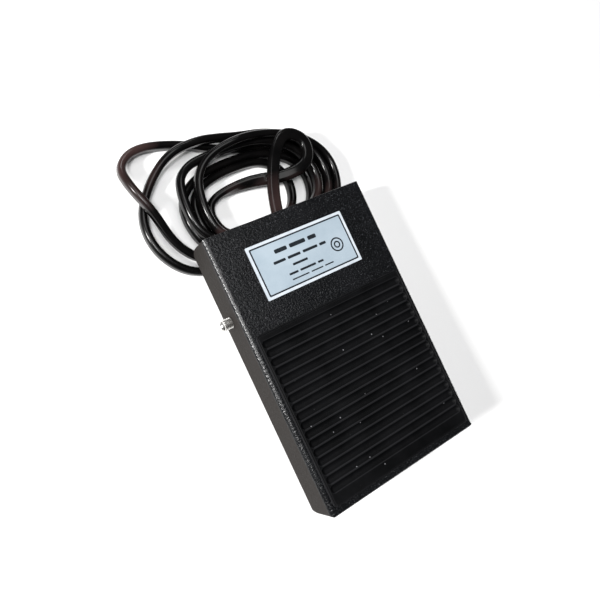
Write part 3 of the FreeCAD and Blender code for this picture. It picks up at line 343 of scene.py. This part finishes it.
def make_tread():
    """The ribbed tread: a grid of points over its face, finer where it bends, with a rim and an underside."""
    inner = GROOVE_REACH - GROOVE_HALF
    right = spaced([(inner, 12), (GROOVE_REACH, 10), (PAD_HALF - PAD_RIM, 5), (PAD_HALF, 0)])
    columns = [-x for x in reversed(right)] + spaced([(-inner / 2, 2), (inner / 2, 0)]) + right
    rows = spaced([(PAD_FRONT, 5), (PAD_FRONT + PAD_RIM, 12), (PAD_FRONT + 1.4 * MM, 8),
                   (GROOVE_FIRST - (GROOVE_COUNT - 0.5) * RIB_PITCH, 14 * GROOVE_COUNT),
                   (GROOVE_FIRST + 0.5 * RIB_PITCH, 4), (PAD_REAR - 1.2 * MM, 12), (PAD_REAR - PAD_RIM, 5),
                   (PAD_REAR, 0)])
    verts, faces, across = [], [], len(columns)
    for y in rows:
        for x in columns:
            verts.append(ON_PLATE @ Vector((*in_corner(x, y), tread_height(x, y))))
    for i in range(len(rows) - 1):
        for k in range(across - 1):
            a = i * across + k
            faces.append((a, a + 1, a + 1 + across, a + across))
    rim = list(range(across)) + [(i + 1) * across - 1 for i in range(1, len(rows))]
    rim += [len(verts) - 1 - k for k in range(1, across)]
    rim += [i * across for i in range(len(rows) - 2, 0, -1)]
    low = len(verts)
    for v in rim:
        i, k = divmod(v, across)
        verts.append(ON_PLATE @ Vector((*in_corner(columns[k], rows[i]), 0.0)))
    for n in range(len(rim)):
        m = (n + 1) % len(rim)
        faces.append((rim[n], rim[m], low + m, low + n))
    faces.append(tuple(range(low, low + len(rim))))
    piece = treadle_piece("ribbed_tread", verts, faces, tread_rubber(), "tread_rubber")
    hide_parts("tread_pad")


def in_corner(x, y):
    """Draw a point of the tread's outline in to the round corners."""
    middle_y, half_y = (PAD_FRONT + PAD_REAR) / 2, (PAD_REAR - PAD_FRONT) / 2
    u, v = abs(x) - (PAD_HALF - PAD_CORNER), abs(y - middle_y) - (half_y - PAD_CORNER)
    if u <= 0 or v <= 0:
        return x, y
    squash = max(u, v) / math.hypot(u, v)
    return (math.copysign(PAD_HALF - PAD_CORNER + u * squash, x),
            middle_y + math.copysign(half_y - PAD_CORNER + v * squash, y - middle_y))


LABEL_MIDDLE = Vector((-0.5 * MM, 33.6 * MM))
LABEL_HALF = Vector((20.75 * MM, 9.95 * MM))
LABEL_TOP = 0.3 * MM
LABEL_SINK, PANEL_PROUD, FRAME_PROUD, MARK_PROUD = 0.1 * MM, 0.02 * MM, 0.03 * MM, 0.04 * MM
PANEL_INSET, FRAME_INSET, FRAME_WIDTH = 1.5 * MM, 1.0 * MM, 0.55 * MM
PANEL_CORNER, FRAME_CORNER, BAR_CORNER = 0.3 * MM, 0.45 * MM, 0.6
RING_MARK, RING_RADII = Vector((13.6 * MM, -1.2 * MM)), ((2.7, 2.15), (1.35, 0.8))
# Plain rounded bars on the label: middle x, middle y, half length and half width, in millimetres.
LABEL_BARS = [(-8.4, 5.0, 2.6, 0.75), (-1.2, 5.0, 3.4, 0.75), (5.2, 5.0, 1.8, 0.75),
              (-10.6, 1.3, 2.5, 0.5), (-4.4, 1.3, 2.7, 0.5), (2.6, 1.3, 3.2, 0.5), (8.2, 1.3, 1.4, 0.5),
              (-3.2, -1.6, 3.2, 0.42), (-7.4, -4.4, 1.9, 0.4), (-1.2, -4.4, 3.4, 0.4), (4.4, -4.4, 1.2, 0.4),
              (-5.4, -6.5, 3.6, 0.24), (1.8, -6.5, 2.6, 0.24), (7.2, -6.5, 1.9, 0.24)]


def plate_slab(outline, low, high, hole=None):
    """A thin closed slab on the treadle with this outline, or a ring of slab round a hole."""
    loops = [outline] + ([hole] if hole else [])
    verts, faces, count = [], [], len(outline)
    for loop in loops:
        for level in (low, high):
            verts += [ON_PLATE @ Vector((x, y, level)) for x, y in loop]
    for n in range(len(loops)):
        start = n * 2 * count
        for i in range(count):
            k = (i + 1) % count
            faces.append((start + i, start + k, start + count + k, start + count + i))
    if hole:
        for level in (0, count):
            for i in range(count):
                k = (i + 1) % count
                faces.append((level + i, level + k, 2 * count + level + k, 2 * count + level + i))
    else:
        faces += [tuple(range(count)), tuple(range(count, 2 * count))]
    return verts, faces


def round_box(middle, half, radius, steps=5):
    """The outline of a box with round corners, or of a circle when the radius is the whole half width."""
    outline = []
    for turn, (sx, sy) in enumerate(((1, 1), (-1, 1), (-1, -1), (1, -1))):
        for i in range(steps + 1):
            angle = (turn + i / steps) * math.pi / 2
            outline.append((middle[0] + sx * (half[0] - radius) + radius * math.cos(angle),
                            middle[1] + sy * (half[1] - radius) + radius * math.sin(angle)))
    return outline


def inset_half(inset):
    return LABEL_HALF - Vector((inset, inset))


def joined(pieces):
    """Several closed shapes as the vertices and faces of one mesh."""
    verts, faces = [], []
    for more_verts, more_faces in pieces:
        base = len(verts)
        verts += more_verts
        faces += [tuple(v + base for v in face) for face in more_faces]
    return verts, faces


def make_label():
    """The face panel, a fine frame line round it, and plain marks in place of any wording."""
    low = LABEL_TOP - LABEL_SINK
    panel_edge = round_box(LABEL_MIDDLE, inset_half(PANEL_INSET), PANEL_CORNER)
    panel = plate_slab(panel_edge, low, LABEL_TOP + PANEL_PROUD)
    face, bsdf = new_material("label_face", (0.4, 0.5, 0.58), 0.4)
    finish_surface(face, bsdf, (0.24, 0.30, 0.35), (0.31, 0.37, 0.42), (0.34, 0.48), 45, (0.06, 0.00001),
                   fine=900)
    treadle_piece("label_panel", *panel, face, "label_foil", smooth=False)
    high = LABEL_TOP + MARK_PROUD
    marks = [plate_slab(round_box(LABEL_MIDDLE, inset_half(FRAME_INSET), FRAME_CORNER), low,
                        LABEL_TOP + FRAME_PROUD,
                        round_box(LABEL_MIDDLE, inset_half(FRAME_INSET + FRAME_WIDTH), PANEL_CORNER))]
    for x, y, half_long, half_wide in LABEL_BARS:
        at = LABEL_MIDDLE + Vector((x * MM, y * MM))
        marks.append(plate_slab(round_box(at, (half_long * MM, half_wide * MM), half_wide * BAR_CORNER * MM),
                                low, high))
    at = LABEL_MIDDLE + RING_MARK
    for outer, inner in RING_RADII:
        marks.append(plate_slab(round_box(at, (outer * MM, outer * MM), outer * MM), low, high,
                                round_box(at, (inner * MM, inner * MM), inner * MM)))
    ink = simple_material("label_ink", (0.003, 0.005, 0.008), (0.010, 0.014, 0.018), (0.45, 0.6), scale=1500)
    ink.node_tree.nodes["Principled BSDF"].inputs["Specular IOR Level"].default_value = 0.2
    treadle_piece("label_print", *joined(marks), ink, "label_foil", smooth=False)


# ---------------------------------------------------------------- return spring
SPRING_AT, SPRING_LOW = Vector((0, -4.0 * MM, 0)), 5.0 * MM
SPRING_RADIUS, SPRING_WIRE, SPRING_TURNS, SPRING_STEPS = 5.1 * MM, 0.6 * MM, 6.5, 24
SPRING_PRESSED, SPRING_CLOSED, SPRING_EASE = 0.872, 0.75, 0.3 * MM


def make_spring():
    """Compression spring with its end turns closed."""
    low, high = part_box("return_spring")
    bottom, top = low[2] + SPRING_WIRE, high[2] - SPRING_WIRE - SPRING_EASE
    count = round(SPRING_TURNS * SPRING_STEPS)
    path = []
    for i in range(count + 1):
        turn = i / SPRING_STEPS
        open_share = min(max((turn - SPRING_CLOSED) / (SPRING_TURNS - 2 * SPRING_CLOSED), 0), 1)
        closed = 2 * SPRING_WIRE * (min(turn, SPRING_CLOSED) + max(turn - SPRING_TURNS + SPRING_CLOSED, 0))
        rise = bottom + closed + open_share * (top - bottom - 4 * SPRING_CLOSED * SPRING_WIRE)
        angle = turn * 2 * math.pi
        path.append((SPRING_AT.x + SPRING_RADIUS * math.cos(angle),
                     SPRING_AT.y + SPRING_RADIUS * math.sin(angle), rise))
    ring = [(SPRING_WIRE * math.cos(a * math.pi / 5), SPRING_WIRE * math.sin(a * math.pi / 5))
            for a in range(10)]
    spring, _ = sweep("pressure_spring", np.array(path), ring, lambda travelled, total: 0)
    spring.data.materials.append(simple_material("spring_wire", (0.35, 0.34, 0.32), (0.55, 0.54, 0.52),
                                                 (0.22, 0.36), scale=400, bump=(0.1, 0.00001), metallic=1.0))
    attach(spring, "base")
    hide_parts("return_spring")
    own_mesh(spring)


# ---------------------------------------------------------------- cord
CORD_WIDE, CORD_THIN, CORD_WAIST = 0.0048, 0.0030, 0.00012
LEAD = [(0, 0.0505, 0.0136), (0.0014, 0.0572, 0.0135), (0.0050, 0.0658, 0.0133), (0.0094, 0.0734, 0.0131),
        (0.0170, 0.0804, 0.0129), (0.0248, 0.0756, 0.0127), (0.0226, 0.0664, 0.0125),
        (0.0118, 0.0642, 0.0112), (0.0004, 0.0676, 0.0070), (-0.0090, 0.0682, 0.0036),
        (-0.0166, 0.0668, 0.0024)]
LOOP_A = [(-0.0074, 0.0842, 0.0024), (-0.0204, 0.0900, 0.0024), (-0.0364, 0.0930, 0.0030),
          (-0.0454, 0.0877, 0.0050), (-0.0450, 0.0792, 0.0077), (-0.0410, 0.0687, 0.0077),
          (-0.0380, 0.0572, 0.0040), (-0.0324, 0.0493, 0.0025), (-0.0259, 0.0461, 0.0030),
          (-0.0184, 0.0458, 0.0050)]
LOOP_B = [(-0.0060, 0.0866, 0.0073), (-0.0150, 0.0880, 0.0074), (-0.0272, 0.0866, 0.0070),
          (-0.0370, 0.0794, 0.0036), (-0.0448, 0.0687, 0.0024), (-0.0446, 0.0557, 0.0024),
          (-0.0369, 0.0447, 0.0024), (-0.0244, 0.0413, 0.0024), (-0.0100, 0.0405, 0.0024)]
UNDER = [(0.0015, 0.0405, 0.0024)]
TAIL = [(0.0134, 0.0415, 0.0024), (0.024, 0.0412, 0.0024), (0.0345, 0.0385, 0.0024),
        (0.041, 0.030, 0.0022), (0.0422, 0.017, 0.0018), (0.0406, 0.004, 0.0016),
        (0.0414, -0.008, 0.0016)]

RING_CENTRE = Vector((0.0006, 0.0627, 0))
LOW, HIGH, OVER = 0.0024, 0.0072, 0.0124
# Where the strand passes at each quarter turn (left, near, right, far, and again), its height there, and
# how square the next quarter is.
RING_LOW = [(-0.0200, LOW, 3.0), (0.0493, LOW, 2.2), (0.0164, LOW, 2.2), (0.0754, LOW, 2.6),
            (-0.0252, LOW, 3.0), (0.0461, LOW, 2.4), (0.0254, LOW, 2.0), (0.0785, LOW, 2.6),
            (-0.0294, LOW, 2.6), (0.0429, LOW, 2.4), (0.0290, LOW, 2.1), (0.0817, LOW, 2.2)]
RING_HIGH = [(0.0413, HIGH, 2.4), (0.0354, HIGH, 2.1), (0.0832, OVER, 2.7),
             (-0.0232, HIGH, 3.0), (0.0477, HIGH, 2.4), (0.0266, HIGH, 2.0), (0.0822, HIGH, 4.0),
             (-0.0294, HIGH, 2.2), (0.0445, HIGH, 2.4), (0.0314, HIGH, 2.1), (0.0852, HIGH, 2.2)]
QUARTER_STEPS = 4


def ring_points(passes, first_side):
    """Control points of the turns: a rounded quarter from each pass to the next."""
    spots = []
    for i, (reach, height, squareness) in enumerate(passes):
        sideways = (first_side + i) % 2 == 0
        spot = Vector((reach, RING_CENTRE.y, 0)) if sideways else Vector((RING_CENTRE.x, reach, 0))
        spots.append((spot - RING_CENTRE, height, 2 / squareness))
    points = []
    for (start, low, power), (end, high, _) in zip(spots, spots[1:]):
        for step in range(QUARTER_STEPS):
            share = step / QUARTER_STEPS
            angle = share * math.pi / 2
            flat = RING_CENTRE + start * math.cos(angle) ** power + end * math.sin(angle) ** power
            rise = share ** 2 if high > low else 1 - (1 - share) ** 2
            points.append((flat.x, flat.y, low + (high - low) * rise))
    last, height, _ = spots[-1]
    points.append(tuple((RING_CENTRE + last).xy) + (height,))
    return points


def smooth_line(name, points):
    """The route as one open NURBS spline, and the points of its smooth line."""
    data = bpy.data.curves.new(name, "CURVE")
    data.dimensions = "3D"
    data.resolution_u = 12
    spline = data.splines.new("NURBS")
    spline.points.add(len(points) - 1)
    for point, at in zip(spline.points, points):
        point.co = (*at, 1)
    spline.order_u = 3
    spline.use_endpoint_u = True
    curve = bpy.data.objects.new(name, data)
    bpy.context.scene.collection.objects.link(curve)
    line = bpy.data.meshes.new_from_object(curve)
    found = np.array([v.co for v in line.vertices], float)
    bpy.data.objects.remove(curve)
    bpy.data.meshes.remove(line)
    return found


def flat_profile():
    """The cord's section: two round edges joined by flats, with a slight waist between the cores."""
    ring, reach, radius = [], (CORD_WIDE - CORD_THIN) / 2, CORD_THIN / 2
    for side in (1, -1):
        for i in range(9):
            angle = side * math.pi / 2 - side * math.pi * i / 8
            ring.append((side * (reach + radius * abs(math.cos(angle))), radius * math.sin(angle)))
        ring.append((0, -side * (radius - CORD_WAIST)))
    return ring


def sweep(name, path, profile, turn):
    """A closed tube of this section along the path; turn(travelled, total) is its roll, in radians."""
    gaps = np.linalg.norm(np.diff(path, axis=0), axis=1)
    travelled = np.concatenate([[0], np.cumsum(gaps)])
    heading = np.gradient(path, axis=0)
    heading /= np.linalg.norm(heading, axis=1)[:, None]
    side = np.cross(heading, (0, 0, 1))
    side /= np.linalg.norm(side, axis=1)[:, None]
    up = np.cross(side, heading)
    verts, faces, count = [], [], len(profile)
    for i, at in enumerate(path):
        roll = turn(travelled[i], travelled[-1])
        wide = math.cos(roll) * side[i] + math.sin(roll) * up[i]
        thin = math.cos(roll) * up[i] - math.sin(roll) * side[i]
        verts += [at + wide * w + thin * t for w, t in profile]
    for i in range(len(path) - 1):
        for k in range(count):
            a, b = i * count + k, i * count + (k + 1) % count
            faces.append((a, b, b + count, a + count))
    faces.append(tuple(reversed(range(count))))
    faces.append(tuple(range(len(verts) - count, len(verts))))
    return closed_mesh(name, verts, faces, lambda face: len(face.vertices) == 4), travelled[-1]


# How far along the cord it has turned from flat to on edge, and how far from its end it turns back.
ROLL_START, ROLL_END = 0.062, 0.092
BACK_START, BACK_END = 0.072, 0.034


def eased(share):
    """A smooth step from 0 to 1."""
    share = min(max(share, 0), 1)
    return share * share * (3 - 2 * share)


def cord_roll(travelled, total):
    """Flat from the boot round the hook, on edge through the coil, and flat again at its tail."""
    on_edge = eased((travelled - ROLL_START) / (ROLL_END - ROLL_START))
    back = eased((BACK_START - (total - travelled)) / (BACK_START - BACK_END))
    return math.pi / 2 * min(on_edge, 1 - back)


def cord_sheath():
    """Glossy black PVC with brown patches a few centimetres long, painted for the warm reflection its strands
    show.
    """
    material, bsdf = new_material("cord_pvc", (0.002, 0.002, 0.002), 0.2)
    where = finish_surface(material, bsdf, (0.0010, 0.0010, 0.0011), (0.0030, 0.0027, 0.0027),
                           (0.13, 0.22), 90, (0.2, 0.00002), fine=900)
    links = material.node_tree.links
    # Painted reflection: noise patches of brown stand for the warm surroundings the cord reflects.
    cord_reflection_noise = add_node(material, "ShaderNodeTexNoise", Scale=26, Detail=2.0, Roughness=0.5)
    links.new(where.outputs["Object"], cord_reflection_noise.inputs["Vector"])
    painted_cord_reflection = ramp(material, cord_reflection_noise.outputs["Fac"], [(0.50, (0, 0, 0)), (0.64, (1, 1, 1))])
    tones = bsdf.inputs["Base Color"].links[0].from_socket
    links.new(mix_colour(material, painted_cord_reflection, tones, (0.034, 0.020, 0.019)), bsdf.inputs["Base Color"])
    bsdf.inputs["Specular IOR Level"].default_value = 0.17
    return material


def make_cord():
    route = LEAD + ring_points(RING_LOW, 0) + LOOP_A + ring_points(RING_HIGH, 1) + LOOP_B + UNDER + TAIL
    path = smooth_line("cord_route", route)
    cord, length = sweep("flat_cord", path, flat_profile(), cord_roll)
    cord.data.materials.append(cord_sheath())
    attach(cord, "base")
    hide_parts("cord_lead", "cord_coil", "cord_loop_a", "cord_loop_b", "cord_tail")
    print(f"cord length {length:.3f} m, {len(path)} points")


make_camera()
make_studio()
paint_cad_nodes()
make_cord()
make_tread()
make_label()
make_spring()
